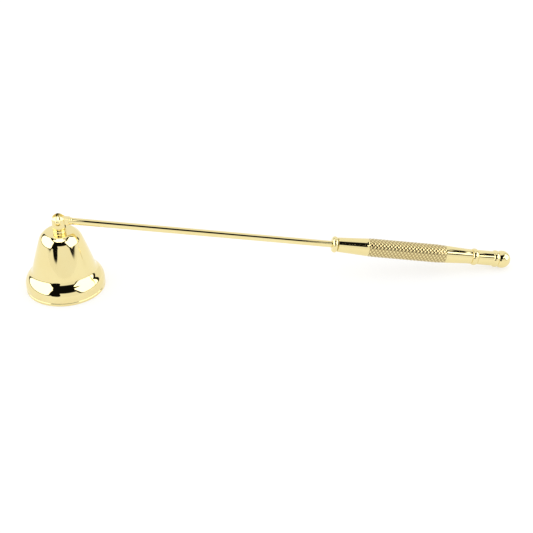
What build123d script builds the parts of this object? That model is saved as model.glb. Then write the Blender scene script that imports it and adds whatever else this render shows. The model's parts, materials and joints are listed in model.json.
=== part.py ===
from build123d import *

import os
from math import asin, atan2, cos, degrees, radians, sin, sqrt

# Candle snuffer: a small brass bell hinged to a long handle with a knurled grip.
# It lies at rest as it does on a table, with the bell standing on its rim and the
# handle sloping down along +X until its ball knob touches the surface.
# Lengths are in millimetres and angles in degrees. +Z is up. The origin is the
# centre of the bell's mouth, on the surface. The hinge pin lies along Y.

os.makedirs("parts", exist_ok=True)

# Bell, a spun shell of even wall
bell_rim_dia = 40.3
bell_height = 32.2
bell_wall = 0.9
crown_dia = 14.4            # where the flat crown would meet the shoulder's curve
crown_edge_radius = 2.0     # rounds that edge
flank_top_dia = 21.84       # where the shoulder's curve runs into the flank
flank_top_height = 27.84
flank_bulge = 0.15          # how far the flank stands out of a straight line
crease_dia = 32.95          # where the flank would meet the flared skirt
crease_height = 9.6
crease_radius = 5.5         # wide hollow curve that joins them
rim_band_height = 3.35      # straight wall below the skirt's curve
rim_line_height = 1.5       # fine turned line round the rim
rim_line_width = 0.3
rim_line_depth = 0.12

# Hinge post, turned and slotted, standing on the crown
pin_rise = 6.3              # from the crown up to the pin's axis
post_foot_dia = 6.7
post_foot_height = 0.4
post_flare_height = 0.7
post_stem_dia = 6.3
post_head_dia = 7.0
post_head_drop = 4.4        # from the pin's axis down to the foot of the head's slope
post_head_slope_height = 0.4
post_head_rise = 1.25       # from the pin's axis up to the dome's edge
post_dome_height = 3.0
post_dome_bulge = 0.1
slot_depth = 3.9            # from the pin's axis down to the slot's floor
post_foot_arc_share = 0.3

# Screw and washer that hold the post from inside the bell
screw_dia = 3.0
screw_head_dia = 5.6
screw_head_height = 2.0
screw_head_edge_radius = 0.8
screw_slot_width = 0.8
screw_slot_depth = 0.9
screw_tip_gap = 0.3         # between the screw's tip and the slot's floor
washer_dia = 7.0
washer_thickness = 0.5

# Hinge pin, a rivet with a domed head on each cheek of the post
pin_dia = 2.0
pin_head_dia = 3.0
pin_head_height = 0.75
pin_seat_depth = 0.4        # spot face in the cheek, at its middle
pin_seat_gap = 0.1          # radial gap round each head

# Rod, with its front end flattened into an eye
rod_dia = 3.4
rod_reach = 139.3           # from the pin to the collar
rod_socket_depth = 22.0     # length of rod inside the grip
tongue_thickness = 3.2
tongue_height = 3.6
eye_dia = 4.2
tongue_length = 5.0         # from the pin to the middle of the shoulder's curve
shoulder_dia = 3.8
shoulder_curve_length = 1.2
shoulder_length = 0.6
shoulder_slope_length = 0.6

# Collar, grip and finial, strung along the handle's axis
collar_length = 2.9
collar_dia = 8.5
collar_edge_dia = 6.4
grip_front_dia = 7.6
grip_front_length = 18.8    # waisted cone that widens to the knurled barrel
grip_front_hollow = 0.05    # how far the cone's side dips below a straight line
knurl_dia = 9.7
grip_barrel_length = 34.4
grip_taper_length = 16.4
grip_tail_dia = 7.8
grip_tail_length = 2.8
grip_edge_chamfer = 0.3
rear_collar_length = 3.0
rear_collar_dia = 8.9
rear_collar_edge_dia = 7.6
neck_dia = 7.7
neck_length = 8.5
neck_bead_length = 2.9
neck_bead_dia = 8.9
knob_dia = 9.2
knob_seat_dia = 7.9
stud_dia = 3.0
stud_grip_depth = 9.0
stud_knob_depth = 5.0

# Clearances
pin_running_gap = 0.05      # radial, between the pin and the rod's eye
slot_side_gap = 0.1         # each side of the tongue
seat_gap = 0.02             # radial, round what is pressed, riveted or screwed in
bore_end_gap = 0.4          # past the end of a rod or stud in its hole
cut_overrun = 1.0

# Worked out from the sizes above
bell_rim_radius = bell_rim_dia / 2
crown_underside = bell_height - bell_wall
pin_height = bell_height + pin_rise
slot_width = tongue_thickness + 2 * slot_side_gap
slot_floor = pin_height - slot_depth
post_stem_bottom = bell_height + post_foot_height + post_flare_height
post_stem_top = pin_height - post_head_drop
post_dome_bottom = pin_height + post_head_rise
post_top = post_dome_bottom + post_dome_height
pin_seat_offset = post_head_dia / 2 - pin_seat_depth

collar_start = rod_reach
grip_start = collar_start + collar_length
barrel_start = grip_start + grip_front_length
barrel_end = barrel_start + grip_barrel_length
taper_end = barrel_end + grip_taper_length
grip_end = taper_end + grip_tail_length
neck_start = grip_end + rear_collar_length
neck_bead_start = neck_start + neck_length
knob_start = neck_bead_start + neck_bead_length
knob_reach = knob_start + sqrt((knob_dia / 2) ** 2 - (knob_seat_dia / 2) ** 2)
rod_end = grip_start + rod_socket_depth
stud_start = grip_end - stud_grip_depth
stud_end = knob_start + stud_knob_depth

# The handle slopes down from the pin until the knob just touches the surface.
rest_slope = degrees(asin((pin_height - knob_dia / 2) / knob_reach))
handle_run = (cos(radians(rest_slope)), 0, -sin(radians(rest_slope)))
handle_axis = Axis((0, 0, pin_height), handle_run)
# Local x runs along the handle from the pin, and local y square to it, upwards.
handle_side = Plane(origin=(0, 0, pin_height), x_dir=handle_run, z_dir=(0, -1, 0))


with BuildPart() as bell:
    with BuildSketch(Plane.XZ) as bell_wall_section:
        with BuildLine() as bell_outline:
            crown_corner = (crown_dia / 2, bell_height)
            flank_top = (flank_top_dia / 2, flank_top_height)
            crease_point = (crease_dia / 2, crease_height)
            # Flat crown, round shoulder and a flank that is a little convex
            Line((screw_dia / 2 + seat_gap, bell_height), crown_corner)
            flank = SagittaArc(flank_top, crease_point, flank_bulge)
            TangentArc(flank_top, crown_corner, tangent=flank.tangent_at(0) * -1)
            # Skirt, curving down from the crease into the rim's straight band
            TangentArc((bell_rim_radius, rim_band_height), crease_point, tangent=(0, 1))
            Line((bell_rim_radius, rim_band_height), (bell_rim_radius, 0))
            fillet(
                bell_outline.vertices().sort_by_distance(crown_corner)[0],
                crown_edge_radius,
            )
            fillet(
                bell_outline.vertices().sort_by_distance(crease_point)[0],
                crease_radius,
            )
            offset(amount=bell_wall, side=Side.RIGHT)
        make_face()
    revolve(axis=Axis.Z)
    # Fine line turned round the rim
    with BuildSketch(Plane.XZ) as rim_line_section:
        with Locations((bell_rim_radius, rim_line_height)):
            Rectangle(2 * rim_line_depth, rim_line_width)
    revolve(axis=Axis.Z, mode=Mode.SUBTRACT)


with BuildPart() as hinge_post:
    with BuildSketch(Plane.XZ) as post_section:
        with BuildLine() as post_outline:
            flare_bottom = bell_height + post_foot_height
            flare_width = (post_foot_dia - post_stem_dia) / 2
            dome_run = post_head_dia / 2
            dome_slope = atan2(post_dome_height, dome_run)
            Polyline(
                (0, post_top),
                (0, bell_height),
                (post_foot_dia / 2, bell_height),
                (post_foot_dia / 2, flare_bottom),
            )
            ThreePointArc(
                (post_foot_dia / 2, flare_bottom),
                (
                    post_stem_dia / 2 + flare_width * post_foot_arc_share,
                    flare_bottom + post_flare_height * post_foot_arc_share,
                ),
                (post_stem_dia / 2, post_stem_bottom),
            )
            Polyline(
                (post_stem_dia / 2, post_stem_bottom),
                (post_stem_dia / 2, post_stem_top),
                (post_head_dia / 2, post_stem_top + post_head_slope_height),
                (post_head_dia / 2, post_dome_bottom),
            )
            ThreePointArc(
                (post_head_dia / 2, post_dome_bottom),
                (
                    dome_run / 2 + post_dome_bulge * sin(dome_slope),
                    post_dome_bottom + post_dome_height / 2 + post_dome_bulge * cos(dome_slope),
                ),
                (0, post_top),
            )
        make_face()
    revolve(axis=Axis.Z)
    # Slot for the rod's eye, open at the top and at both ends
    with BuildSketch(Plane.XY.offset(slot_floor)) as slot_plan:
        Rectangle(post_foot_dia + 2 * cut_overrun, slot_width)
    extrude(amount=post_top - slot_floor + cut_overrun, mode=Mode.SUBTRACT)
    # Cross hole for the pin, and a spot face on each cheek for its heads
    with BuildSketch(Plane.XZ) as pin_hole:
        with Locations((0, pin_height)):
            Circle(pin_dia / 2 + seat_gap)
    extrude(amount=post_head_dia, both=True, mode=Mode.SUBTRACT)
    for cheek in (1, -1):
        with BuildSketch(Plane.XZ.offset(cheek * pin_seat_offset)) as pin_seat:
            with Locations((0, pin_height)):
                Circle(pin_head_dia / 2 + pin_seat_gap)
        extrude(amount=cheek * (pin_seat_depth + cut_overrun), mode=Mode.SUBTRACT)
    # Tapped hole for the screw
    with BuildSketch(Plane.XY.offset(bell_height)) as screw_hole:
        Circle(screw_dia / 2 + seat_gap)
    extrude(amount=slot_floor - bell_height, mode=Mode.SUBTRACT)


with BuildPart() as post_washer:
    with BuildSketch(Plane.XY.offset(crown_underside)) as washer_plan:
        Circle(washer_dia / 2)
        Circle(screw_dia / 2 + seat_gap, mode=Mode.SUBTRACT)
    extrude(amount=-washer_thickness)


with BuildPart() as post_screw:
    screw_head_top = crown_underside - washer_thickness
    with BuildSketch(Plane.XY.offset(screw_head_top)) as screw_head_plan:
        Circle(screw_head_dia / 2)
    extrude(amount=-screw_head_height)
    fillet(post_screw.edges().group_by(Axis.Z)[0], screw_head_edge_radius)
    with BuildSketch(Plane.XY.offset(screw_head_top)) as screw_shank_plan:
        Circle(screw_dia / 2)
    extrude(amount=slot_floor - screw_tip_gap - screw_head_top)
    with BuildSketch(Plane.XY.offset(screw_head_top - screw_head_height)) as driver_slot:
        Rectangle(screw_head_dia + cut_overrun, screw_slot_width)
    extrude(amount=screw_slot_depth, mode=Mode.SUBTRACT)


with BuildPart() as hinge_pin:
    with BuildSketch(Plane.YZ) as pin_section:
        with BuildLine() as pin_outline:
            head_tip = pin_seat_offset + pin_head_height
            Polyline(
                (-head_tip, pin_height),
                (head_tip, pin_height),
            )
            TangentArc(
                (head_tip, pin_height),
                (pin_seat_offset, pin_height + pin_head_dia / 2),
                tangent=(0, 1),
            )
            Polyline(
                (pin_seat_offset, pin_height + pin_head_dia / 2),
                (pin_seat_offset, pin_height + pin_dia / 2),
                (-pin_seat_offset, pin_height + pin_dia / 2),
                (-pin_seat_offset, pin_height + pin_head_dia / 2),
            )
            TangentArc(
                (-head_tip, pin_height),
                (-pin_seat_offset, pin_height + pin_head_dia / 2),
                tangent=(0, 1),
            )
        make_face()
    revolve(axis=Axis((0, 0, pin_height), (0, 1, 0)))


with BuildPart() as rod:
    with BuildSketch(handle_side) as rod_section:
        with BuildLine() as rod_outline:
            shoulder_start = tongue_length - shoulder_curve_length / 2
            shoulder_top = shoulder_start + shoulder_curve_length
            shoulder_back = shoulder_top + shoulder_length
            TangentArc(
                (shoulder_start, 0),
                (shoulder_top, shoulder_dia / 2),
                tangent=(0, 1),
            )
            Polyline(
                (shoulder_top, shoulder_dia / 2),
                (shoulder_back, shoulder_dia / 2),
                (shoulder_back + shoulder_slope_length, rod_dia / 2),
                (rod_end, rod_dia / 2),
                (rod_end, 0),
                (shoulder_start, 0),
            )
        make_face()
    revolve(axis=handle_axis)
    with BuildSketch(handle_side) as tongue_side:
        Circle(eye_dia / 2)
        with Locations((shoulder_top / 2, 0)):
            Rectangle(shoulder_top, tongue_height)
    extrude(amount=tongue_thickness / 2, both=True)
    with BuildSketch(handle_side) as eye_hole:
        Circle(pin_dia / 2 + pin_running_gap)
    extrude(amount=tongue_thickness, both=True, mode=Mode.SUBTRACT)


def turned_ring(start, length, edge_dia, crest_dia, bore_dia):
    """Ring round the handle's axis whose outside is one convex arc."""
    with BuildPart() as ring:
        with BuildSketch(handle_side):
            with BuildLine():
                Polyline(
                    (start, edge_dia / 2),
                    (start, bore_dia / 2),
                    (start + length, bore_dia / 2),
                    (start + length, edge_dia / 2),
                )
                ThreePointArc(
                    (start + length, edge_dia / 2),
                    (start + length / 2, crest_dia / 2),
                    (start, edge_dia / 2),
                )
            make_face()
        revolve(axis=handle_axis)
    return ring


rod_bore_dia = rod_dia + 2 * seat_gap
stud_bore_dia = stud_dia + 2 * seat_gap

front_collar = turned_ring(
    collar_start, collar_length, collar_edge_dia, collar_dia, rod_bore_dia
)
rear_collar = turned_ring(
    grip_end, rear_collar_length, rear_collar_edge_dia, rear_collar_dia, stud_bore_dia
)


with BuildPart() as grip:
    with BuildSketch(handle_side) as grip_section:
        with BuildLine() as grip_outline:
            cone_start = grip_start + grip_edge_chamfer
            ThreePointArc(
                (cone_start, grip_front_dia / 2),
                (
                    (cone_start + barrel_start) / 2,
                    (grip_front_dia + knurl_dia) / 4 - grip_front_hollow,
                ),
                (barrel_start, knurl_dia / 2),
            )
            Polyline(
                (barrel_start, knurl_dia / 2),
                (barrel_end, knurl_dia / 2),
                (taper_end, grip_tail_dia / 2),
                (grip_end - grip_edge_chamfer, grip_tail_dia / 2),
                (grip_end, grip_tail_dia / 2 - grip_edge_chamfer),
                (grip_end, stud_bore_dia / 2),
                (stud_start - bore_end_gap, stud_bore_dia / 2),
                (stud_start - bore_end_gap, 0),
                (rod_end + bore_end_gap, 0),
                (rod_end + bore_end_gap, rod_bore_dia / 2),
                (grip_start, rod_bore_dia / 2),
                (grip_start, grip_front_dia / 2 - grip_edge_chamfer),
                (cone_start, grip_front_dia / 2),
            )
        make_face()
    revolve(axis=handle_axis)


with BuildPart() as finial_neck:
    with BuildSketch(handle_side) as neck_section:
        with BuildLine() as neck_outline:
            Polyline(
                (knob_start, knob_seat_dia / 2),
                (knob_start, stud_bore_dia / 2),
                (neck_start, stud_bore_dia / 2),
                (neck_start, neck_dia / 2),
                (neck_bead_start, neck_dia / 2),
            )
            ThreePointArc(
                (neck_bead_start, neck_dia / 2),
                (neck_bead_start + neck_bead_length / 2, neck_bead_dia / 2),
                (knob_start, knob_seat_dia / 2),
            )
        make_face()
    revolve(axis=handle_axis)


with BuildPart() as ball_knob:
    with BuildSketch(handle_side) as knob_section:
        with BuildLine() as knob_outline:
            ThreePointArc(
                (knob_start, knob_seat_dia / 2),
                (knob_reach, knob_dia / 2),
                (knob_reach + knob_dia / 2, 0),
            )
            Polyline(
                (knob_reach + knob_dia / 2, 0),
                (stud_end + bore_end_gap, 0),
                (stud_end + bore_end_gap, stud_bore_dia / 2),
                (knob_start, stud_bore_dia / 2),
                (knob_start, knob_seat_dia / 2),
            )
        make_face()
    revolve(axis=handle_axis)


with BuildPart() as tie_stud:
    with BuildSketch(handle_side) as stud_section:
        with Locations(((stud_start + stud_end) / 2, stud_dia / 4)):
            Rectangle(stud_end - stud_start, stud_dia / 2)
    revolve(axis=handle_axis)


pieces = {
    "bell": bell,
    "hinge_post": hinge_post,
    "post_washer": post_washer,
    "post_screw": post_screw,
    "hinge_pin": hinge_pin,
    "rod": rod,
    "front_collar": front_collar,
    "grip": grip,
    "rear_collar": rear_collar,
    "finial_neck": finial_neck,
    "ball_knob": ball_knob,
    "tie_stud": tie_stud,
}
for piece_name, piece in pieces.items():
    piece.part.label = piece_name
    export_step(piece.part, f"parts/{piece_name}.step")

print("rest slope", round(rest_slope, 3), "knob centre from the pin", round(knob_reach, 2))
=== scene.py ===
import json
from math import atan2, cos, hypot, pi, radians, sin, sqrt

import bmesh
import bpy
from bpy.props import FloatProperty, FloatVectorProperty, IntProperty, PointerProperty
from mathutils import Matrix, Vector


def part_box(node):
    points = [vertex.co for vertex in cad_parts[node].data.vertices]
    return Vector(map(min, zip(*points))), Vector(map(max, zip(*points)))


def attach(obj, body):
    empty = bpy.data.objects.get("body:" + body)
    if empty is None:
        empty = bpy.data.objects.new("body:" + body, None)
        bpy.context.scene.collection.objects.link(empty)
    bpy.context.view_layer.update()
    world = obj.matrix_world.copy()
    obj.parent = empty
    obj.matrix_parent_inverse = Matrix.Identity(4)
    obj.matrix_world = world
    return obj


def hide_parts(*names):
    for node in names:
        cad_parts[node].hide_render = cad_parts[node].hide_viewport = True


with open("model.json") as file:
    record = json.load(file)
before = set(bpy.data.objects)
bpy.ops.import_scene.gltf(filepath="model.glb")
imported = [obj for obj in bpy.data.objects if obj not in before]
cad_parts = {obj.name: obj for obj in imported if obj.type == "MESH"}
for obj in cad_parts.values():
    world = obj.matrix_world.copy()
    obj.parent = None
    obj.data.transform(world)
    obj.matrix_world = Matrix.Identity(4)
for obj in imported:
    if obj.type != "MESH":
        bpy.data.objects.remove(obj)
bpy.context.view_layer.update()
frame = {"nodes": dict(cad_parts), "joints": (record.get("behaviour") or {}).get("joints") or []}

bl_info = {
    "name": "Candle snuffer",
    "version": (1, 0, 0),
    "blender": (4, 5, 0),
    "location": "View3D > Sidebar > Snuffer",
    "description": "Builds a polished brass candle snuffer and the studio that it stands in",
    "category": "Object",
}

MM = 0.001
PIN = Vector(frame["joints"][0]["pos_m"])
BELL_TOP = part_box("bell")[1]

# Where the handle's parts start, behind the front face of the front collar
STARTS = {
    "cone": 2.9 * MM, "barrel": 21.7 * MM, "taper": 56.1 * MM, "tail": 72.5 * MM,
    "rear_collar": 75.3 * MM, "neck": 78.3 * MM, "bead": 86.8 * MM, "knob": 89.7 * MM,
}
ROD_BORE = 1.72 * MM       # Radius of the bores round the rod
ROD_SOCKET = 22.0 * MM     # Depth of the grip's bore for the rod
STUD_BORE = 1.52 * MM      # Radius of the bores round the stud
KNOB_SEAT = 3.95 * MM      # Radius of the knob where it meets the bead
LATHE_LINE = 0.002 * MM    # Depth of the fine lathe lines
WELD = 0.0005 * MM         # Points closer than this are one


def length(name, description, default):
    return FloatProperty(
        name=name, description=description, default=default, min=0.0,
        unit="LENGTH", subtype="DISTANCE", precision=5,
    )


def colour(name, description, default):
    return FloatVectorProperty(
        name=name, description=description, default=default, size=3,
        min=0.0, max=1.0, subtype="COLOR",
    )


class SnufferBellSizes(bpy.types.PropertyGroup):
    rim_radius: length("Rim radius", "Outside radius of the bell's rim", BELL_TOP.x)
    height: length("Height", "Height of the bell from its rim to its crown", BELL_TOP.z)
    wall: length("Wall", "Thickness of the spun shell", 0.9 * MM)
    crown: length("Crown", "Radius where the flat crown would meet the shoulder", 7.2 * MM)
    crown_edge: length("Crown edge", "Radius that rounds the edge of the crown", 2.0 * MM)
    flank_top: length("Flank's top radius", "Where the shoulder runs into the flank", 10.92 * MM)
    flank_height: length("Flank's top height", "Height of that place above the rim", 27.84 * MM)
    flank_bulge: length("Flank bulge", "How far the flank stands out of a line", 0.15 * MM)
    crease_radius: length("Crease radius", "Distance of the crease from the axis", 16.475 * MM)
    crease_height: length("Crease height", "Height of the crease above the rim", 9.6 * MM)
    cove: length("Cove", "Radius of the hollow between flank and skirt", 5.5 * MM)
    rim_band: length("Rim band", "Height of the straight band at the rim", 3.35 * MM)
    line_height: length("Turned line", "Height of the fine line turned round the rim", 1.5 * MM)
    hole: length("Screw hole", "Radius of the hole in the crown", 1.52 * MM)


class SnufferHingeSizes(bpy.types.PropertyGroup):
    foot: length("Foot radius", "Radius of the post's foot", 3.35 * MM)
    stem: length("Stem radius", "Radius of the post's stem", 3.15 * MM)
    head: length("Head radius", "Radius of the post's head", 3.5 * MM)
    dome: length("Dome height", "Height of the pointed dome", 3.0 * MM)
    slot_half: length("Half slot", "Half the width of the slot for the rod", 1.7 * MM)
    slot_depth: length("Slot depth", "From the pin's axis down to the slot's floor", 3.9 * MM)
    pin: length("Pin radius", "Radius of the hinge pin", 1.0 * MM)
    pin_head: length("Pin head radius", "Radius of the rivet's domed heads", 1.5 * MM)
    pin_head_height: length("Pin head height", "Height of each domed head", 0.75 * MM)
    pin_seat: length("Pin seat", "Distance of the head's seat from the post's axis", 3.1 * MM)


class SnufferHandleSizes(bpy.types.PropertyGroup):
    rod: length("Rod radius", "Radius of the long rod", 1.7 * MM)
    shoulder: length("Shoulder radius", "Radius of the rod's shoulder behind the eye", 1.9 * MM)
    tongue_half: length("Half tongue", "Half the thickness of the flattened end", 1.6 * MM)
    tongue_rise: length("Half tongue height", "Half the height of the flattened end", 1.8 * MM)
    eye: length("Eye radius", "Outside radius of the rod's eye", 2.1 * MM)
    reach: length("Reach", "From the pin to the front collar", 139.3 * MM)
    collar: length("Collar radius", "Crest radius of the front collar", 4.25 * MM)
    grip_front: length("Grip front radius", "Radius of the grip at its front end", 3.8 * MM)
    knurl: length("Knurl radius", "Radius over the knurl's crests", 4.85 * MM)
    grip_tail: length("Grip tail radius", "Radius of the grip at its rear end", 3.9 * MM)
    neck: length("Neck radius", "Radius of the short neck", 3.85 * MM)
    knob: length("Knob radius", "Radius of the ball knob", 4.6 * MM)
    knurl_pitch: length("Knurl pitch", "Length of one diamond along the grip", 1.91 * MM)
    knurl_depth: length("Knurl depth", "Depth of the knurl's grooves", 0.14 * MM)
    knurl_starts: IntProperty(
        name="Knurl starts", description="Diamonds round the grip", default=12, min=6, max=40,
    )


class SnufferFinish(bpy.types.PropertyGroup):
    brass: colour("Brass", "Colour of the polished brass", (0.875, 0.757, 0.392))
    deep_brass: colour("Deep brass", "Colour where the lacquer has warmed", (0.85, 0.70, 0.33))
    # Painted shade: this colour darkens the knurl's grooves by their depth, in place of the shade
    # that falls in them.
    groove: colour("Groove", "Colour of the residue in grooves and corners", (0.30, 0.21, 0.09))
    nickel: colour("Nickel", "Colour of the plated fasteners", (0.72, 0.70, 0.66))
    polish: FloatProperty(
        name="Polish", description="Roughness of the polished faces", default=0.035,
        min=0.0, max=1.0, subtype="FACTOR",
    )


class SnufferStudio(bpy.types.PropertyGroup):
    floor: colour("Floor", "Colour of the floor and the backdrop", (0.9, 0.9, 0.9))
    softbox: FloatProperty(
        name="Softbox", description="Brightness of the softboxes", default=2.4, min=0.0, max=10.0,
    )
    lens: FloatProperty(
        name="Lens", description="Focal length on a 36 mm sensor", default=68.024,
        min=10.0, max=300.0,
    )
    camera_place: FloatVectorProperty(
        name="Camera", description="Place of the camera", size=3,
        default=(0.069408, -0.443905, 0.284306), subtype="TRANSLATION", unit="LENGTH", precision=5,
    )


# Sections, drawn in the XZ plane and turned about an axis

class Outline:
    """A section that is drawn point by point, with its corners rounded at the end."""

    def __init__(self, x, z, soft=0.0):
        self.bm = bmesh.new()
        self.first = self.last = self.bm.verts.new((x, 0.0, z))
        self.soft = [(self.first, soft)] if soft else []

    def line(self, x, z, soft=0.0):
        new = bmesh.ops.extrude_vert_indiv(self.bm, verts=[self.last])["verts"][0]
        new.co = (x, 0.0, z)
        if soft:
            self.soft.append((new, soft))
        self.last = new
        return self

    def arc(self, cx, cz, turn, steps, soft=0.0):
        """Turns the last point about (cx, cz), from +Z towards +X when turn is positive."""
        made = bmesh.ops.spin(
            self.bm, geom=[self.last], cent=(cx, 0.0, cz), axis=(0, 1, 0),
            angle=turn, steps=steps, use_duplicate=False,
        )["geom_last"]
        self.last = [v for v in made if isinstance(v, bmesh.types.BMVert)][0]
        if soft:
            self.soft.append((self.last, soft))
        return self

    def bow(self, x, z, rise, steps, soft=0.0):
        """An arc to (x, z) that stands rise above the straight line, to its left."""
        start = self.last.co.copy()
        dx, dz = x - start.x, z - start.z
        chord = hypot(dx, dz)
        radius = (chord * chord / 4 + rise * rise) / (2 * abs(rise))
        side = 1.0 if rise > 0 else -1.0
        away = (radius - abs(rise)) * side
        cx = start.x + dx / 2 + dz / chord * away
        cz = start.z + dz / 2 - dx / chord * away
        turn = 2 * atan2(chord / 2, radius - abs(rise)) * side
        self.arc(cx, cz, turn, steps, soft)
        self.last.co = (x, 0.0, z)
        return self

    def close(self):
        self.bm.edges.new((self.last, self.first))
        return self

    def turn(self, axis, steps, rounding=4):
        """Rounds the soft corners and turns the section right round the axis."""
        for size in sorted({s for v, s in self.soft}):
            bmesh.ops.bevel(
                self.bm, geom=[v for v, s in self.soft if s == size], offset=size,
                offset_type="OFFSET", segments=rounding, profile=0.5, affect="VERTICES",
                material=-1,
            )
        bmesh.ops.spin(
            self.bm, geom=self.bm.verts[:] + self.bm.edges[:], cent=(0, 0, 0), axis=axis,
            angle=2 * pi, steps=steps, use_merge=True, use_duplicate=False,
        )
        bmesh.ops.remove_doubles(self.bm, verts=self.bm.verts, dist=WELD)
        bmesh.ops.recalc_face_normals(self.bm, faces=self.bm.faces)
        return self.bm


def meeting(first, first_radius, second, second_radius):
    """The upper point where two circles of the section meet."""
    between = second - first
    along = (
        between.length_squared + first_radius ** 2 - second_radius ** 2
    ) / (2 * between.length)
    rise = sqrt(first_radius ** 2 - along ** 2)
    unit = between.normalized()
    foot = first + unit * along
    side = Vector((-unit.y, unit.x))
    return max(foot + side * rise, foot - side * rise, key=lambda point: point.y)


def tilt(direction):
    """Angle of a direction in the section, from +Z towards +X."""
    return atan2(direction.x, direction.y)


def mesh_of(name, bm):
    """A mesh made from the shape, which is used up."""
    mesh = bpy.data.meshes.new(name)
    bm.to_mesh(mesh)
    bm.free()
    return mesh


def placed(name, mesh):
    """A new object in the scene that shows the mesh."""
    thing = bpy.data.objects.new(name, mesh)
    bpy.context.scene.collection.objects.link(thing)
    return thing


def combined(base, tool, operation):
    """The base shape after a boolean with the tool shape. Both are used up."""
    target = placed("base", mesh_of("base", base))
    cutter = placed("tool", mesh_of("tool", tool))
    modifier = target.modifiers.new("boolean", "BOOLEAN")
    modifier.operation = operation
    modifier.solver = "EXACT"
    modifier.object = cutter
    bpy.context.view_layer.update()
    graph = bpy.context.evaluated_depsgraph_get()
    done = bpy.data.meshes.new_from_object(target.evaluated_get(graph))
    result = bmesh.new()
    result.from_mesh(done)
    bpy.data.meshes.remove(done)
    for helper in (target, cutter):
        mesh = helper.data
        bpy.data.objects.remove(helper)
        bpy.data.meshes.remove(mesh)
    bmesh.ops.remove_doubles(result, verts=result.verts, dist=2 * WELD)
    bmesh.ops.recalc_face_normals(result, faces=result.faces)
    return result


def box_shape(low, high):
    """A box from its low corner to its high corner."""
    bm = bmesh.new()
    bmesh.ops.create_cube(bm, size=1.0)
    low, high = Vector(low), Vector(high)
    bmesh.ops.scale(bm, vec=high - low, verts=bm.verts)
    bmesh.ops.translate(bm, vec=(low + high) / 2, verts=bm.verts)
    return bm


def rod_shape(radius, low, high, centre, steps=64):
    """A round bar along Y through the centre, from y = low to y = high."""
    bm = bmesh.new()
    bmesh.ops.create_cone(
        bm, cap_ends=True, segments=steps, radius1=radius, radius2=radius, depth=high - low,
        matrix=Matrix.Translation((centre[0], (low + high) / 2, centre[2]))
        @ Matrix.Rotation(pi / 2, 4, "X"),
    )
    return bm


def finished(bm, name, node, body, finish, place=None, crisp=32.0, bevel=0.0):
    """The shape as an object that stands for its CAD node."""
    if place is not None:
        bmesh.ops.transform(bm, matrix=place, verts=bm.verts)
    mesh = mesh_of(name, bm)
    mesh.shade_smooth()
    mesh.set_sharp_from_angle(angle=radians(crisp))
    mesh.materials.append(finish)
    piece = placed(name, mesh)
    if bevel:
        edge = piece.modifiers.new("softened_edges", "BEVEL")
        edge.width = bevel
        edge.segments = 3
        edge.limit_method = "ANGLE"
        edge.angle_limit = radians(35)
        edge.harden_normals = True
    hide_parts(node)
    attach(piece, body)
    return piece


# Materials

class Nodes:
    """Short ways to add shader nodes and join them."""

    def __init__(self, tree):
        self.tree = tree
        tree.nodes.clear()

    def add(self, kind, **values):
        node = self.tree.nodes.new(kind)
        for key, value in values.items():
            setattr(node, key, value)
        return node

    def join(self, source, target):
        if isinstance(source, bpy.types.NodeSocket):
            self.tree.links.new(source, target)
        else:
            target.default_value = source

    def math(self, operation, *values):
        node = self.add("ShaderNodeMath", operation=operation)
        for value, socket in zip(values, node.inputs):
            self.join(value, socket)
        return node.outputs[0]

    def most(self, first, *others):
        """The greatest of the values."""
        for other in others:
            first = self.math("MAXIMUM", first, other)
        return first

    def ramp(self, value, low, high, out_low, out_high, smooth=False):
        node = self.add(
            "ShaderNodeMapRange", interpolation_type="SMOOTHSTEP" if smooth else "LINEAR"
        )
        for source, socket in zip((value, low, high, out_low, out_high), node.inputs):
            self.join(source, socket)
        return node.outputs[0]

    def blend(self, share, a, b):
        node = self.add("ShaderNodeMix", data_type="RGBA")
        self.join(share, node.inputs["Factor"])
        self.join(a, node.inputs[6])
        self.join(b, node.inputs[7])
        return node.outputs[2]


    def noise(self, vector, scale, detail):
        node = self.add("ShaderNodeTexNoise")
        self.join(vector, node.inputs["Vector"])
        node.inputs["Scale"].default_value = scale
        node.inputs["Detail"].default_value = detail
        return node.outputs["Fac"]

    def glow(self, strength):
        node = self.add("ShaderNodeEmission")
        self.join(strength, node.inputs["Strength"])
        return node

    def metal(self, tint, rough):
        node = self.add("ShaderNodeBsdfPrincipled")
        node.inputs["Metallic"].default_value = 1.0
        self.join(tint, node.inputs["Base Color"])
        self.join(rough, node.inputs["Roughness"])
        return node

    def show(self, shader, kind="ShaderNodeOutputMaterial"):
        """Joins the shader to the output."""
        self.join(shader.outputs[0], self.add(kind).inputs["Surface"])


def new_material(name):
    """A material without nodes, and the means to add them."""
    material = bpy.data.materials.new(name)
    material.use_nodes = True
    return material, Nodes(material.node_tree)


def rgba(value):
    return (value[0], value[1], value[2], 1.0)


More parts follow.
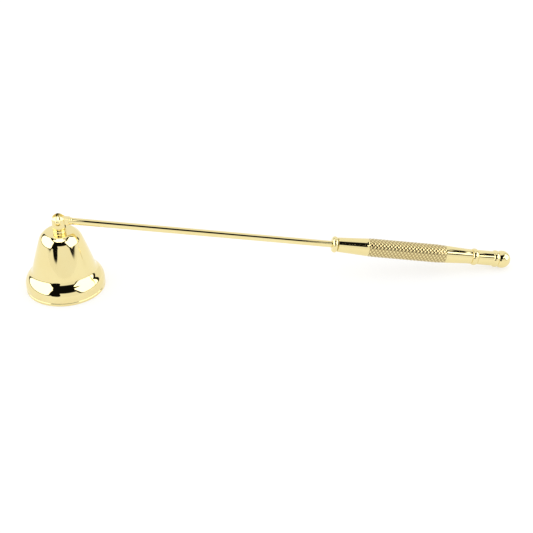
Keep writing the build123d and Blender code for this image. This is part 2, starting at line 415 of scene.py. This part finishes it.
def brass(name, lines, polish, along_handle=False, groove_attribute=None):
    """Lacquered brass with fine lathe lines, a faint colour drift, slight haze and, where a groove
    attribute is given, painted shade in the grooves.
    """
    look = bpy.context.scene.snuffer_finish
    material, n = new_material(name)
    mapping = n.add("ShaderNodeMapping")
    n.join(n.add("ShaderNodeTexCoord").outputs["Object"], mapping.inputs["Vector"])
    if along_handle:
        mapping.inputs["Rotation"].default_value = (0, -handle_slope(), 0)
    place = mapping.outputs[0]
    axes = n.add("ShaderNodeSeparateXYZ")
    n.join(place, axes.inputs[0])
    run = axes.outputs["X"] if along_handle else axes.outputs["Z"]

    warm = n.ramp(n.noise(place, 95.0, 3.0), 0.35, 0.75, 0.0, 0.55)
    tint = n.blend(warm, rgba(look.brass), rgba(look.deep_brass))
    if groove_attribute:
        depth = n.add("ShaderNodeAttribute", attribute_name=groove_attribute)
        # Painted shade: the deeper the groove, the darker the colour.
        painted_shade = n.ramp(depth.outputs["Fac"], 0.2, 0.9, 0.0, 0.85)
        tint = n.blend(painted_shade, tint, rgba(look.groove))
    rough = n.ramp(n.noise(place, 210.0, 4.0), 0.3, 0.8, polish * 0.75, polish * 1.35)
    shader = n.metal(tint, rough)

    turned = n.add("ShaderNodeTexNoise", noise_dimensions="1D")
    n.join(n.math("MULTIPLY", run, lines), turned.inputs["W"])
    turned.inputs["Scale"].default_value = 1.0
    turned.inputs["Detail"].default_value = 2.0
    bump = n.add("ShaderNodeBump")
    bump.inputs["Strength"].default_value = 0.25
    bump.inputs["Distance"].default_value = LATHE_LINE
    n.join(turned.outputs["Fac"], bump.inputs["Height"])
    n.join(bump.outputs[0], shader.inputs["Normal"])
    n.show(shader)
    return material


def nickel(name):
    """Bright plated steel with a fine brushed grain."""
    look = bpy.context.scene.snuffer_finish
    material, n = new_material(name)
    stretch = n.add("ShaderNodeMapping")
    stretch.inputs["Scale"].default_value = (1.0, 1.0, 9.0)
    n.join(n.add("ShaderNodeTexCoord").outputs["Object"], stretch.inputs["Vector"])
    grain = n.noise(stretch.outputs[0], 900.0, 3.0)
    dull = rgba((0.56, 0.54, 0.50))
    tint = n.blend(n.ramp(grain, 0.3, 0.8, 0.0, 0.35), rgba(look.nickel), dull)
    n.show(n.metal(tint, n.ramp(grain, 0.3, 0.8, 0.16, 0.3)))
    return material


# The handle's line, from the pin down to the knob that touches the surface

def station(part):
    """Distance of a part's front from the pin, along the handle."""
    return bpy.context.scene.snuffer_handle.reach + STARTS[part]


def knob_reach():
    """Distance of the ball's centre from the pin."""
    knob = bpy.context.scene.snuffer_handle.knob
    return station("knob") + sqrt(knob ** 2 - KNOB_SEAT ** 2)


def handle_slope():
    """Angle of the handle below the level, with the knob on the surface."""
    drop = (PIN.z - bpy.context.scene.snuffer_handle.knob) / knob_reach()
    return atan2(drop, sqrt(1 - drop * drop))


def handle_place():
    """Puts a shape that was turned about X, from the pin, on the handle's line."""
    return Matrix.Translation(PIN) @ Matrix.Rotation(handle_slope(), 4, "Y")


class SNUFFER_OT_bell(bpy.types.Operator):
    """Spins the bell's shell, with its shoulder, crease, skirt and rim"""

    bl_idname = "snuffer.bell"
    bl_label = "Bell"

    def execute(self, context):
        s = context.scene.snuffer_bell
        corner = Vector((s.crown, s.height))
        top = Vector((s.flank_top, s.flank_height))
        crease = Vector((s.crease_radius, s.crease_height))
        # Flank, a wide arc from the shoulder to the crease
        chord = crease - top
        flank = (chord.length_squared / 4 + s.flank_bulge ** 2) / (2 * s.flank_bulge)
        outward = Vector((-chord.y, chord.x)).normalized()
        flank_centre = (top + crease) / 2 - outward * (flank - s.flank_bulge)
        # Shoulder, tangent to the flank and cut off by the flat crown
        facing = (top - flank_centre).normalized()
        rise = corner - top
        shoulder = -rise.length_squared / (2 * rise.dot(facing))
        shoulder_centre = top - facing * shoulder
        level = s.height - s.crown_edge
        reach = sqrt((shoulder - s.crown_edge) ** 2 - (level - shoulder_centre.y) ** 2)
        edge_centre = Vector((shoulder_centre.x + reach, level))
        # Skirt, and the cove that joins it to the flank
        w, h = s.rim_radius - crease.x, crease.y - s.rim_band
        skirt = (w * w + h * h) / (2 * w)
        skirt_centre = Vector((s.rim_radius - skirt, s.rim_band))
        cove_centre = meeting(flank_centre, flank + s.cove, skirt_centre, skirt + s.cove)
        stops = [
            (edge_centre, tilt(edge_centre - shoulder_centre), 10),
            (shoulder_centre, tilt(facing), 24),
            (flank_centre, tilt(cove_centre - flank_centre), 12),
            (cove_centre, tilt(cove_centre - skirt_centre), 20),
            (skirt_centre, pi / 2, 20),
        ]
        turns, before = [], 0.0
        for centre, angle, steps in stops:
            turns.append((centre, angle - before, steps))
            before = angle
        rim_soft, line_soft = 0.2 * MM, 0.04 * MM
        line_depth, line_half = 0.12 * MM, 0.15 * MM

        o = Outline(s.hole, s.height)
        o.line(edge_centre.x, s.height)
        for centre, angle, steps in turns:
            o.arc(centre.x, centre.y, angle, steps)
        o.line(s.rim_radius, s.line_height + line_half, soft=line_soft)
        o.line(s.rim_radius - line_depth, s.line_height)
        o.line(s.rim_radius, s.line_height - line_half, soft=line_soft)
        o.line(s.rim_radius, 0.0, soft=rim_soft)
        # The inside follows the outside at the wall's thickness.
        o.line(s.rim_radius - s.wall, 0.0, soft=rim_soft)
        o.line(s.rim_radius - s.wall, s.rim_band)
        for centre, angle, steps in reversed(turns):
            o.arc(centre.x, centre.y, -angle, steps)
        o.line(s.hole, s.height - s.wall)
        o.close()
        finished(
            o.turn((0, 0, 1), 192), "bell_shell", "bell", "bell_group",
            brass("bell_brass", lines=9000.0, polish=context.scene.snuffer_finish.polish),
        )
        return {"FINISHED"}


class SNUFFER_OT_hinge(bpy.types.Operator):
    """Turns and slots the post, and rivets the hinge pin through it"""

    bl_idname = "snuffer.hinge"
    bl_label = "Hinge post and pin"

    def execute(self, context):
        s = context.scene.snuffer_hinge
        top = context.scene.snuffer_bell.height
        foot_top = top + 0.4 * MM
        flare_top = foot_top + 0.7 * MM
        head_foot, head_top = PIN.z - 4.4 * MM, PIN.z + 1.25 * MM
        head_slope, dome_bulge, flare_hollow = 0.4 * MM, 0.1 * MM, 0.03 * MM
        edge = 0.15 * MM
        o = Outline(0.0, head_top + s.dome)
        o.bow(s.head, head_top, dome_bulge, 14, soft=edge)
        o.line(s.head, head_foot + head_slope, soft=edge)
        o.line(s.stem, head_foot, soft=edge)
        o.line(s.stem, flare_top, soft=0.2 * MM)
        o.bow(s.foot, foot_top, -flare_hollow, 8, soft=0.06 * MM)
        o.line(s.foot, top, soft=0.05 * MM)
        o.line(0.0, top)
        post = o.turn((0, 0, 1), 128)
        # The slot, the seats of the pin's heads and the pin's bore
        wide, over, head_gap = 2 * s.foot, 1.0 * MM, 0.1 * MM
        slot = box_shape(
            (-wide, -s.slot_half, PIN.z - s.slot_depth),
            (wide, s.slot_half, head_top + s.dome + over),
        )
        post = combined(post, slot, "DIFFERENCE")
        reach = s.head + over
        for side in (1, -1):
            low, high = sorted((side * s.pin_seat, side * reach))
            counterbore = rod_shape(s.pin_head + head_gap, low, high, PIN, 48)
            post = combined(post, counterbore, "DIFFERENCE")
        post = combined(post, rod_shape(s.pin, -reach, reach, PIN, 48), "DIFFERENCE")
        finish = brass("hinge_brass", lines=16000.0, polish=0.08)
        finished(
            post, "hinge_post_turned", "hinge_post", "bell_group", finish,
            crisp=28.0, bevel=0.06 * MM,
        )

        seat, head = s.pin_seat, s.pin_head_height
        bulge = (s.pin_head ** 2 + head ** 2) / (2 * head)
        spread, edge = atan2(s.pin_head, bulge - head), 0.08 * MM
        o = Outline(-seat - head, 0.0)
        o.arc(-seat - head + bulge, 0.0, spread, 10, soft=edge)
        o.line(-seat, s.pin)
        o.line(seat, s.pin)
        o.line(seat, s.pin_head, soft=edge)
        o.arc(seat + head - bulge, 0.0, spread, 10)
        o.close()
        pin = o.turn((1, 0, 0), 64)
        finished(
            pin, "hinge_pin_rivet", "hinge_pin", "bell_group", finish,
            place=Matrix.Translation(PIN) @ Matrix.Rotation(pi / 2, 4, "Z"),
        )
        return {"FINISHED"}


class SNUFFER_OT_rod(bpy.types.Operator):
    """Draws the rod and flattens its front end into the hinge's eye"""

    bl_idname = "snuffer.rod"
    bl_label = "Rod"

    def execute(self, context):
        s = context.scene.snuffer_handle
        # The shoulder's domed front, from its tip to its full radius, then its rear
        tip, full, back, step = 4.4 * MM, 5.6 * MM, 6.2 * MM, 0.6 * MM
        end = station("cone") + ROD_SOCKET
        curve = full - tip
        bulge = (s.shoulder ** 2 + curve ** 2) / (2 * curve)
        o = Outline(tip, 0.0)
        o.arc(tip + bulge, 0.0, atan2(s.shoulder, bulge - curve), 12, soft=0.1 * MM)
        o.line(back, s.shoulder, soft=0.15 * MM)
        o.line(back + step, s.rod, soft=0.3 * MM)
        o.line(end, s.rod)
        o.line(end, 0.0)
        o.close()
        bar = o.turn((1, 0, 0), 96)
        # The flat tongue, its long edges rounded, with the eye at its end
        sunk, edge, eye_bore = 0.1 * MM, 0.35 * MM, 1.05 * MM
        tongue = box_shape(
            (0.0, -s.tongue_half, -s.tongue_rise), (full - sunk, s.tongue_half, s.tongue_rise)
        )
        bmesh.ops.bevel(
            tongue, geom=[e for e in tongue.edges if abs(e.verts[0].co.x - e.verts[1].co.x) > MM],
            offset=edge, offset_type="OFFSET", segments=4, profile=0.5, affect="EDGES",
            material=-1,
        )
        pivot = (0, 0, 0)
        eye = rod_shape(s.eye, -s.tongue_half, s.tongue_half, pivot, 64)
        bore = rod_shape(eye_bore, -2 * s.tongue_half, 2 * s.tongue_half, pivot, 48)
        bar = combined(bar, combined(tongue, eye, "UNION"), "UNION")
        finished(
            combined(bar, bore, "DIFFERENCE"), "rod_with_eye", "rod", "handle",
            brass(
                "rod_brass", lines=2500.0, polish=context.scene.snuffer_finish.polish,
                along_handle=True,
            ),
            place=handle_place(), crisp=28.0, bevel=0.08 * MM,
        )
        return {"FINISHED"}


def collar_shape(start, run, edge, crest, bore):
    """A ring round the handle whose outside is one round bead."""
    soft = 0.12 * MM
    o = Outline(start, bore)
    o.line(start, edge, soft=soft)
    o.bow(start + run, edge, crest - edge, 24, soft=soft)
    o.line(start + run, bore)
    o.close()
    return o.turn((1, 0, 0), 128, rounding=2)


class SNUFFER_OT_collars(bpy.types.Operator):
    """Turns the round beads in front of and behind the grip"""

    bl_idname = "snuffer.collars"
    bl_label = "Collars"

    def execute(self, context):
        s = context.scene.snuffer_handle
        finish = brass("collar_brass", lines=14000.0, polish=0.06, along_handle=True)
        front = collar_shape(s.reach, 2.9 * MM, 3.2 * MM, s.collar, ROD_BORE)
        rear = collar_shape(station("rear_collar"), 3.0 * MM, 3.8 * MM, 4.45 * MM, STUD_BORE)
        for shape, node in ((front, "front_collar"), (rear, "rear_collar")):
            finished(
                shape, node + "_bead", node, "handle", finish, place=handle_place()
            )
        return {"FINISHED"}


class SNUFFER_OT_grip(bpy.types.Operator):
    """Turns the grip's cone and taper, and knurls its barrel"""

    bl_idname = "snuffer.grip"
    bl_label = "Knurled grip"

    def execute(self, context):
        s = context.scene.snuffer_handle
        start, barrel, barrel_end = station("cone"), station("barrel"), station("taper")
        taper_end, end = station("tail"), station("rear_collar")
        chamfer, hollow = 0.3 * MM, 0.05 * MM

        def plain_radius(x):
            """Radius of the turned blank at x along the handle."""
            if x < barrel:
                share = (x - start - chamfer) / (barrel - start - chamfer)
                straight = s.grip_front + (s.knurl - s.grip_front) * share
                return straight - 4 * hollow * share * (1 - share)
            if x > barrel_end:
                share = min(1.0, (x - barrel_end) / (taper_end - barrel_end))
                return s.knurl + (s.grip_tail - s.knurl) * share
            return s.knurl

        # A sheet with a row of corners for every half pitch, split along the grooves
        half = s.knurl_pitch / 2
        columns = 2 * s.knurl_starts
        front_rows, past_barrel = 3, 5.2 * MM
        rows = int((barrel_end - barrel + past_barrel) / half) + front_rows
        low = barrel - front_rows * half
        high = low + rows * half
        bm = bmesh.new()
        bmesh.ops.create_grid(bm, x_segments=rows, y_segments=columns, size=0.5)
        for v in bm.verts:
            v.co = ((v.co.x + 0.5) * rows, (v.co.y + 0.5) * columns, 0.0)
        grooves = [v for v in bm.verts if (round(v.co.x) + round(v.co.y)) % 2 == 0]
        bmesh.ops.connect_verts(bm, verts=grooves)
        bmesh.ops.subdivide_edges(bm, edges=bm.edges[:], cuts=3, use_grid_fill=True)
        # The grooves are cut between the crests, and run out at both ends
        # The groove's depth is kept on each corner, and it also paints shade into the grooves.
        depth = bm.verts.layers.float.new("groove")
        run_out, crest_edge = 0.4 * MM, 0.86
        for v in bm.verts:
            u, w = v.co.x, v.co.y
            one = abs((u + w + 1) % 2 - 1)
            other = abs((u - w + 1) % 2 - 1)
            crest = min(1.0, min(one, other) / crest_edge)
            x = low + u * half
            share = max(0.0, min(1.0, (x - low) / run_out, (high - x) / run_out))
            v[depth] = (1 - crest) * share
            radius = plain_radius(x) - s.knurl_depth * v[depth]
            angle = 2 * pi * w / columns
            v.co = (x, -radius * sin(angle), radius * cos(angle))
        bmesh.ops.remove_doubles(bm, verts=bm.verts, dist=WELD)

        # The rest of the grip, turned to meet the sheet's two ends
        steps, stud_socket = 12, 9.4 * MM
        front = Outline(low, plain_radius(low))
        for i in range(1, steps + 1):
            x = low + (start + chamfer - low) * i / steps
            front.line(x, plain_radius(x))
        front.line(start, s.grip_front - chamfer)
        front.line(start, ROD_BORE)
        front.line(start + ROD_SOCKET, ROD_BORE)
        rear = Outline(high, plain_radius(high))
        rear.line(taper_end, s.grip_tail)
        rear.line(end - chamfer, s.grip_tail)
        rear.line(end, s.grip_tail - chamfer)
        rear.line(end, STUD_BORE)
        rear.line(end - stud_socket, STUD_BORE)
        for part in (front, rear):
            mesh = mesh_of("part", part.turn((1, 0, 0), 4 * columns))
            bm.from_mesh(mesh)
            bpy.data.meshes.remove(mesh)
        bmesh.ops.remove_doubles(bm, verts=bm.verts, dist=4 * WELD)
        bmesh.ops.recalc_face_normals(bm, faces=bm.faces)
        finished(
            bm, "knurled_grip", "grip", "handle",
            brass(
                "grip_brass", lines=12000.0, polish=0.08, along_handle=True,
                groove_attribute="groove",
            ),
            place=handle_place(), crisp=24.0,
        )
        return {"FINISHED"}


class SNUFFER_OT_finial(bpy.types.Operator):
    """Turns the short neck with its bead, and the ball knob"""

    bl_idname = "snuffer.finial"
    bl_label = "Neck and knob"

    def execute(self, context):
        s = context.scene.snuffer_handle
        neck, bead, knob = station("neck"), station("bead"), station("knob")
        finish = brass("finial_brass", lines=14000.0, polish=0.06, along_handle=True)
        o = Outline(knob, STUD_BORE)
        o.line(neck, STUD_BORE)
        o.line(neck, s.neck, soft=0.2 * MM)
        o.line(bead, s.neck, soft=0.15 * MM)
        o.bow(knob, KNOB_SEAT, 0.55 * MM, 24)
        o.close()
        finished(
            o.turn((1, 0, 0), 128), "finial_neck_turned", "finial_neck", "handle",
            finish, place=handle_place(),
        )
        centre, socket = knob_reach(), knob + 5.4 * MM
        o = Outline(knob, STUD_BORE)
        o.line(knob, KNOB_SEAT, soft=0.1 * MM)
        o.arc(centre, 0.0, pi - atan2(KNOB_SEAT, centre - knob), 48)
        o.line(socket, 0.0)
        o.line(socket, STUD_BORE)
        o.close()
        finished(
            o.turn((1, 0, 0), 128, rounding=2), "knob_ball", "ball_knob", "handle",
            finish, place=handle_place(),
        )
        return {"FINISHED"}


class SNUFFER_OT_fasteners(bpy.types.Operator):
    """Plates the screw, the washer and the stud"""

    bl_idname = "snuffer.fasteners"
    bl_label = "Screw, washer and stud"

    def execute(self, context):
        finish = nickel("fastener_nickel")
        for node in ("post_screw", "post_washer", "tie_stud"):
            mesh = frame["nodes"][node].data
            mesh.materials.clear()
            mesh.materials.append(finish)
        return {"FINISHED"}


class SNUFFER_OT_studio(bpy.types.Operator):
    """Lays the pale floor, hangs the softboxes and places the camera"""

    bl_idname = "snuffer.studio"
    bl_label = "Studio"

    def execute(self, context):
        scene = context.scene
        s = scene.snuffer_studio
        self.floor(s)
        self.world(scene, s)
        # Two small panels over the bell, and one at the camera's right for the handle's end
        up = 23 * MM
        for name, corners in (
            ("overhead_panel",
             ((-9, -27.5), (7, -27.5), (14, -20), (17, -13), (-19, -13), (-16, -20))),
            ("dome_panel", ((-8, -13), (7, -13), (8, -9), (-9, -9))),
        ):
            self.card(s, name, [(x * MM, y * MM, PIN.z + up) for x, y in corners])
        low, high = 270 * MM, 430 * MM
        self.card(
            s, "side_panel",
            ((285 * MM, -316 * MM, low), (285 * MM, -316 * MM, high),
             (500 * MM, -150 * MM, high), (500 * MM, -150 * MM, low)),
        )
        view = bpy.data.cameras.new("camera")
        view.lens = s.lens
        view.sensor_width = 36.0
        view.shift_x = -0.00079
        view.shift_y = 0.00122
        view.clip_start = 0.01
        view.clip_end = 50.0
        camera = bpy.data.objects.new("camera", view)
        camera.location = s.camera_place
        camera.rotation_euler = (radians(57.964), 0.0, radians(-4.472))
        scene.collection.objects.link(camera)
        scene.camera = camera
        scene.view_settings.view_transform = "Standard"
        return {"FINISHED"}

    def floor(self, s):
        """Pale paper that keeps the object's shadow."""
        bm = bmesh.new()
        bmesh.ops.create_circle(bm, cap_ends=True, segments=96, radius=4.0)
        floor = placed("floor", mesh_of("floor", bm))
        material, n = new_material("floor_paper")
        matte = n.add("ShaderNodeBsdfDiffuse")
        matte.inputs["Color"].default_value = rgba([v * 0.5 for v in s.floor])
        path = n.add("ShaderNodeLightPath").outputs
        seen = n.most(path["Is Camera Ray"], path["Is Glossy Ray"], path["Is Transmission Ray"])
        both = n.add("ShaderNodeAddShader")
        n.join(matte.outputs[0], both.inputs[0])
        n.join(n.glow(n.math("MULTIPLY", seen, 0.58)).outputs[0], both.inputs[1])
        n.show(both)
        floor.data.materials.append(material)

    def card(self, s, name, corners):
        """A bright panel that only reflections show."""
        bm = bmesh.new()
        bm.faces.new([bm.verts.new(corner) for corner in corners])
        panel = placed(name, mesh_of(name, bm))
        material, n = new_material(name)
        mix = n.add("ShaderNodeMixShader")
        n.join(n.add("ShaderNodeLightPath").outputs["Is Glossy Ray"], mix.inputs[0])
        n.join(n.add("ShaderNodeBsdfTransparent").outputs[0], mix.inputs[1])
        n.join(n.glow(s.softbox).outputs[0], mix.inputs[2])
        n.show(mix)
        panel.data.materials.append(material)

    def world(self, scene, s):
        world = bpy.data.worlds.new("studio")
        world.use_nodes = True
        scene.world = world
        n = Nodes(world.node_tree)
        axes = n.add("ShaderNodeSeparateXYZ")
        n.join(n.add("ShaderNodeTexCoord").outputs["Generated"], axes.inputs[0])
        x, y, z = axes.outputs
        # Degrees round from the front of the studio, towards +X, and degrees up
        azimuth = n.math("DEGREES", n.math("ARCTAN2", x, n.math("MULTIPLY", y, -1.0)))
        elevation = n.math("DEGREES", n.math("ARCSINE", z))

        def panel(low, high, bottom, top, edge, square=6.0, slant=0.0):
            """1 inside a rounded panel in the sky, 0 outside it."""
            across = n.math("SUBTRACT", azimuth, (low + high) / 2)
            rise = n.math("SUBTRACT", elevation, (bottom + top) / 2)
            if slant:
                across = n.math("ADD", across, n.math("MULTIPLY", rise, slant))
            powers = []
            for distance, half in ((across, (high - low) / 2), (rise, (top - bottom) / 2)):
                share = n.math("ABSOLUTE", n.math("DIVIDE", distance, half))
                powers.append(n.math("POWER", share, square))
            size = n.math("POWER", n.math("ADD", *powers), 1 / square)
            soft = edge / min(high - low, top - bottom) * 2
            return n.ramp(size, 1 - soft, 1 + soft, 1.0, 0.0, smooth=True)

        dark = n.most(
            panel(-41, 47, 29, 59, 2),
            panel(-42, -13, 8, 62, 1),
            panel(-39, -11, 2.6, 26, 0.5, square=3),
            panel(-78, 78, 49, 83, 2),
            panel(-142, -36, 1.4, 66, 0.8),
            panel(34, 94, 1.6, 66, 0.8, slant=0.3),
            panel(56, 122, 1.6, 69, 0.8),
        )
        lit = n.most(
            panel(-130, -44, 4.6, 56, 0.8),
            panel(42, 90, 4, 56, 0.8, slant=0.3),
            panel(66, 112, 4, 60, 0.8),
        )
        strength = n.ramp(lit, 0.0, 1.0, n.ramp(dark, 0.0, 1.0, 1.0, 0.005), s.softbox)
        # The panels show in reflections only.
        path = n.add("ShaderNodeLightPath").outputs
        direct = n.most(path["Is Camera Ray"], path["Is Diffuse Ray"])
        sky = n.add("ShaderNodeBackground")
        sky.inputs["Color"].default_value = (1.0, 1.0, 1.0, 1.0)
        n.join(n.ramp(direct, 0.0, 1.0, strength, 1.0), sky.inputs["Strength"])
        n.show(sky, "ShaderNodeOutputWorld")


class SNUFFER_PT_panel(bpy.types.Panel):
    bl_label = "Candle snuffer"
    bl_idname = "SNUFFER_PT_panel"
    bl_space_type = "VIEW_3D"
    bl_region_type = "UI"
    bl_category = "Snuffer"

    def draw(self, context):
        for group, operators in (
            ("snuffer_bell", ["snuffer.bell"]),
            ("snuffer_hinge", ["snuffer.hinge"]),
            ("snuffer_handle",
             ["snuffer.rod", "snuffer.collars", "snuffer.grip", "snuffer.finial"]),
            ("snuffer_finish", ["snuffer.fasteners"]),
            ("snuffer_studio", ["snuffer.studio"]),
        ):
            box = self.layout.box()
            sizes = getattr(context.scene, group)
            for key in sizes.__annotations__:
                box.prop(sizes, key)
            for name in operators:
                box.operator(name)


GROUPS = {
    "snuffer_bell": SnufferBellSizes,
    "snuffer_hinge": SnufferHingeSizes,
    "snuffer_handle": SnufferHandleSizes,
    "snuffer_finish": SnufferFinish,
    "snuffer_studio": SnufferStudio,
}
OPERATORS = (
    SNUFFER_OT_bell, SNUFFER_OT_hinge, SNUFFER_OT_rod, SNUFFER_OT_collars,
    SNUFFER_OT_grip, SNUFFER_OT_finial, SNUFFER_OT_fasteners, SNUFFER_OT_studio,
)


def register():
    for cls in (*GROUPS.values(), *OPERATORS, SNUFFER_PT_panel):
        bpy.utils.register_class(cls)
    for name, group in GROUPS.items():
        setattr(bpy.types.Scene, name, PointerProperty(type=group))


def unregister():
    for name in GROUPS:
        delattr(bpy.types.Scene, name)
    for cls in (SNUFFER_PT_panel, *reversed(OPERATORS), *reversed(GROUPS.values())):
        bpy.utils.unregister_class(cls)


def main():
    register()
    bpy.ops.snuffer.bell()
    bpy.ops.snuffer.hinge()
    bpy.ops.snuffer.rod()
    bpy.ops.snuffer.collars()
    bpy.ops.snuffer.grip()
    bpy.ops.snuffer.finial()
    bpy.ops.snuffer.fasteners()
    bpy.ops.snuffer.studio()


if __name__ == "__main__":
    main()
